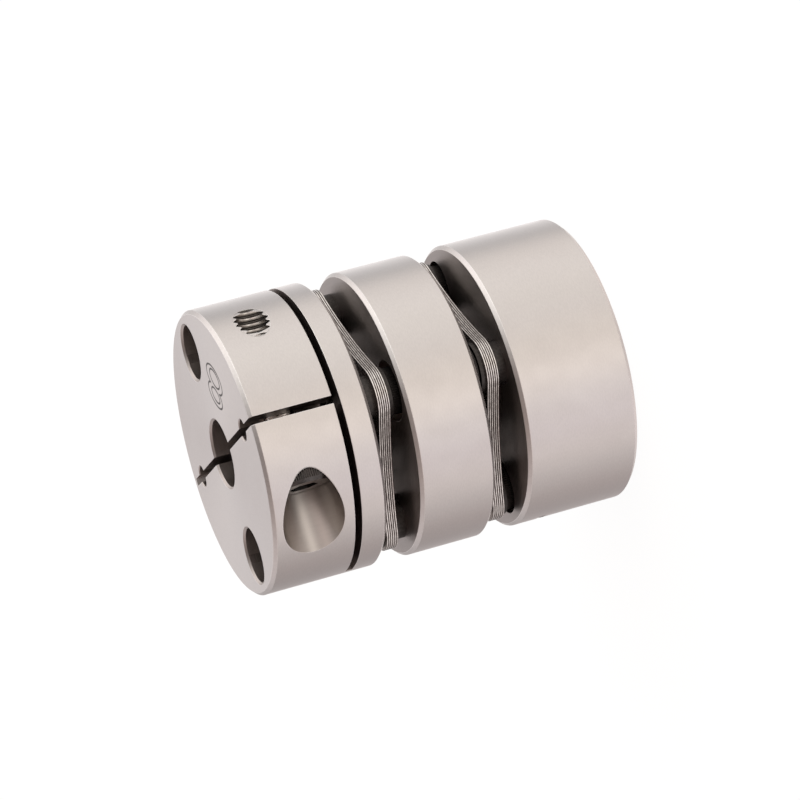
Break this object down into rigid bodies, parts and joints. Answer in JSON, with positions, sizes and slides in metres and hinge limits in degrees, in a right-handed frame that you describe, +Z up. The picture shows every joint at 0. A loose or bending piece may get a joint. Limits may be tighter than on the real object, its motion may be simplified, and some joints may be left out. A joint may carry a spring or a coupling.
{
  "type": "disc coupling",
  "caption": "Double disc shaft coupling with two split clamping hubs, a middle sleeve and laminated steel leaf packs; joins two small shafts and takes up misalignment.",
  "frame": {"origin": "centre of the lower hub's outer face, on which the coupling stands", "axes": "+Z up along the shaft axis; +X to the side on which the upper hub is split; -Y to the side on which both clamp screws' heads are"},
  "size_m": [0.034, 0.034, 0.045],
  "materials": {
    "hub_aluminium": "fine turned and brushed",
    "sleeve_aluminium": "fine turned and brushed",
    "leaf_steel": "cold rolled spring steel with bright cut edges",
    "collar_steel": "turned",
    "washer_steel": "plain",
    "screw_steel": "black oxide"
  },
  "bodies": {
    "root": {"upper_hub": "hub_aluminium", "lower_hub": "hub_aluminium", "center_sleeve": "sleeve_aluminium", "upper_leaf_1": "leaf_steel", "upper_leaf_2": "leaf_steel", "upper_leaf_3": "leaf_steel", "upper_leaf_4": "leaf_steel", "upper_leaf_5": "leaf_steel", "upper_leaf_6": "leaf_steel", "upper_collar_1": "collar_steel", "upper_washer_1": "washer_steel", "upper_disc_screw_1": "screw_steel", "upper_collar_2": "collar_steel", "upper_washer_2": "washer_steel", "upper_disc_screw_2": "screw_steel", "upper_collar_3": "collar_steel", "upper_washer_3": "washer_steel", "upper_disc_screw_3": "screw_steel", "upper_collar_4": "collar_steel", "upper_washer_4": "washer_steel", "upper_disc_screw_4": "screw_steel", "upper_clamp_screw": "screw_steel", "lower_leaf_1": "leaf_steel", "lower_leaf_2": "leaf_steel", "lower_leaf_3": "leaf_steel", "lower_leaf_4": "leaf_steel", "lower_leaf_5": "leaf_steel", "lower_leaf_6": "leaf_steel", "lower_collar_1": "collar_steel", "lower_washer_1": "washer_steel", "lower_disc_screw_1": "screw_steel", "lower_collar_2": "collar_steel", "lower_washer_2": "washer_steel", "lower_disc_screw_2": "screw_steel", "lower_collar_3": "collar_steel", "lower_washer_3": "washer_steel", "lower_disc_screw_3": "screw_steel", "lower_collar_4": "collar_steel", "lower_washer_4": "washer_steel", "lower_disc_screw_4": "screw_steel", "lower_clamp_screw": "screw_steel"}
  },
  "joints": []
}
